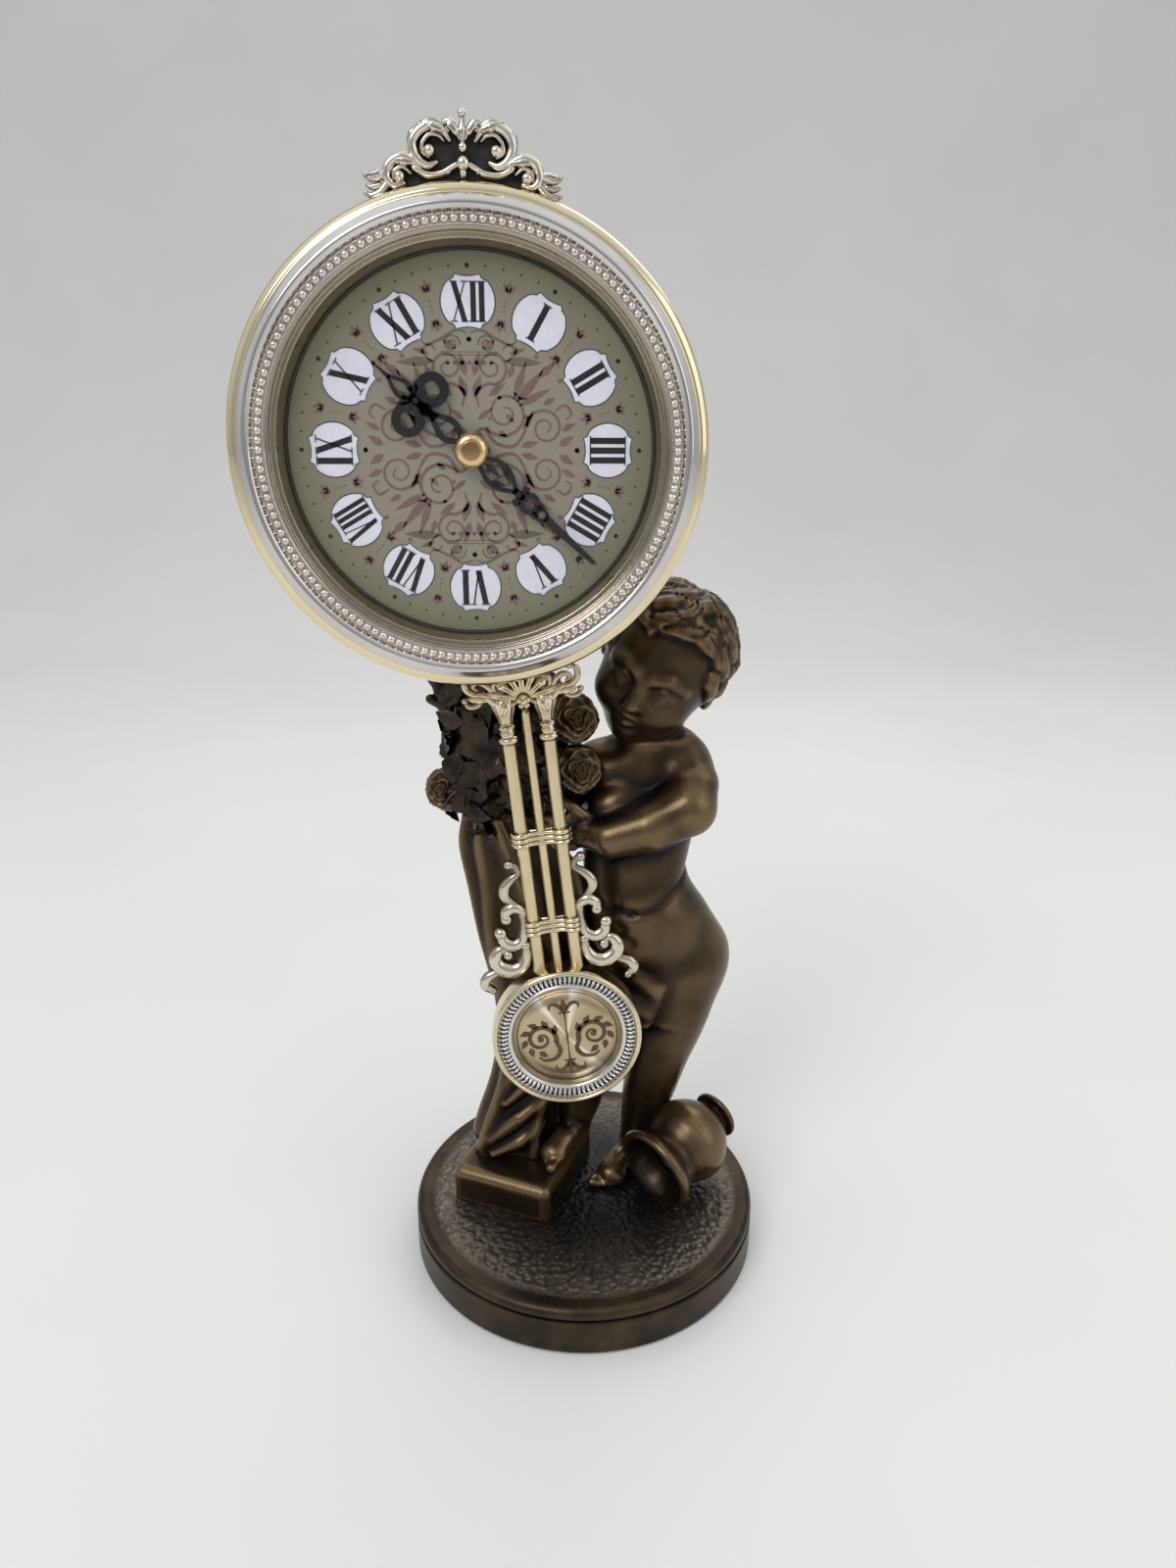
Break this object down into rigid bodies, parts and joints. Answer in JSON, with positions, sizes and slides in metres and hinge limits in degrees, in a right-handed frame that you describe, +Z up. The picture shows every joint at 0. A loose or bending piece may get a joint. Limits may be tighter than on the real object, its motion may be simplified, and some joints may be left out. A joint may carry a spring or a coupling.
{
  "type": "swing clock",
  "caption": "Table clock: a bronze child with a rose bush holds up a round dial in a gilt case, over a free-swinging pendulum of rods, scrollwork and a round bob.",
  "frame": {"origin": "middle of the base's felt underside, on the table", "axes": "+Z up, dial facing -Y, +X to the right as seen from the front"},
  "size_m": [0.1446, 0.114, 0.3301],
  "materials": {
    "bronze": "dark bronze patina with rubbed golden highlights",
    "felt": "felt",
    "steel": "plain",
    "polished_gold": "polished pale gold plate",
    "satin_gold": "satin pale gold plate",
    "antique_gold": "antiqued silver-gold, dark in the recesses",
    "silver_reed": "antiqued silver",
    "medallion_gold": "radially brushed gold",
    "crystal": "clear",
    "dial": "printed champagne gold",
    "case": "gold lacquer",
    "black_plastic": "fine texture",
    "gear_plastic": "moulded",
    "brass_work": "turned",
    "cell": null,
    "contact": "nickel plate",
    "board": "lacquered board",
    "coil": "enamelled copper wire",
    "hand_black": "satin black",
    "weight": "as cast"
  },
  "bodies": {
    "stand": {"base_plinth": "bronze", "base_felt": "felt", "base_screws": "steel", "stone_slab": "bronze", "cherub_figure": "bronze", "loin_drape": "bronze", "water_urn": "bronze", "cast_cloth": "bronze", "support_post": "bronze", "rose_bush": "bronze", "rose_blooms": "bronze", "bezel": "polished_gold", "bead_ring": "polished_gold", "crystal": "crystal", "dial_plate": "dial", "dial_retainer": "steel", "retainer_screws": "steel", "case_drum": "case", "post_screws": "steel", "crest": "antique_gold", "movement_housing": "black_plastic", "movement_back": "black_plastic", "centre_bush": "brass_work", "bush_nut": "hand_black", "battery_cell": "cell", "cell_contacts": "contact", "circuit_board": "board", "drive_coil": "coil"},
    "pendulum": {"pendulum_hanger": "brass_work", "drive_magnet": "steel", "cradle": "antique_gold", "rod_capitals": "antique_gold", "left_rod": "satin_gold", "right_rod": "satin_gold", "centre_rod": "satin_gold", "upper_clamp": "antique_gold", "lower_clamp": "antique_gold", "left_scroll": "antique_gold", "right_scroll": "antique_gold", "bob_shell": "polished_gold", "bob_weight": "weight", "reeded_ring": "silver_reed", "bob_medallion": "medallion_gold", "bob_nub": "polished_gold"},
    "minute_work": {"minute_arbor": "brass_work", "minute_hand": "hand_black", "hub_cap": "polished_gold"},
    "hour_work": {"hour_wheel": "gear_plastic", "hour_hand": "hand_black"},
    "intermediate": {"intermediate_wheel": "gear_plastic"},
    "setter": {"setting_knob": "black_plastic"},
    "cover": {"rear_cover": "black_plastic"}
  },
  "joints": [
    {"name": "pendulum_swing", "type": "hinge", "parent": "stand", "child": "pendulum", "pos_m": [-0.03, -0.0111, 0.295], "axis": [0, 1, 0], "range_deg": [-1.6, 14.4]},
    {"name": "minute_turn", "type": "hinge", "parent": "stand", "child": "minute_work", "pos_m": [-0.03, -0.031, 0.258], "axis": [0, 1, 0], "continuous": true},
    {"name": "hour_turn", "type": "hinge", "parent": "stand", "child": "hour_work", "pos_m": [-0.03, -0.031, 0.258], "axis": [0, 1, 0], "continuous": true},
    {"name": "intermediate_turn", "type": "hinge", "parent": "stand", "child": "intermediate", "pos_m": [-0.022, -0.031, 0.264], "axis": [0, 1, 0], "continuous": true},
    {"name": "setting_turn", "type": "hinge", "parent": "stand", "child": "setter", "pos_m": [-0.014, -0.031, 0.258], "axis": [0, 1, 0], "continuous": true},
    {"name": "cover_pull", "type": "slide", "parent": "stand", "child": "cover", "axis": [0, 1, 0], "range_m": [0, 0.025]}
  ],
  "couplings": [
    {"joint": "hour_turn", "follows": "minute_turn", "ratio": 0.083333},
    {"joint": "intermediate_turn", "follows": "minute_turn", "ratio": -0.33333},
    {"joint": "setting_turn", "follows": "minute_turn", "ratio": 1}
  ]
}
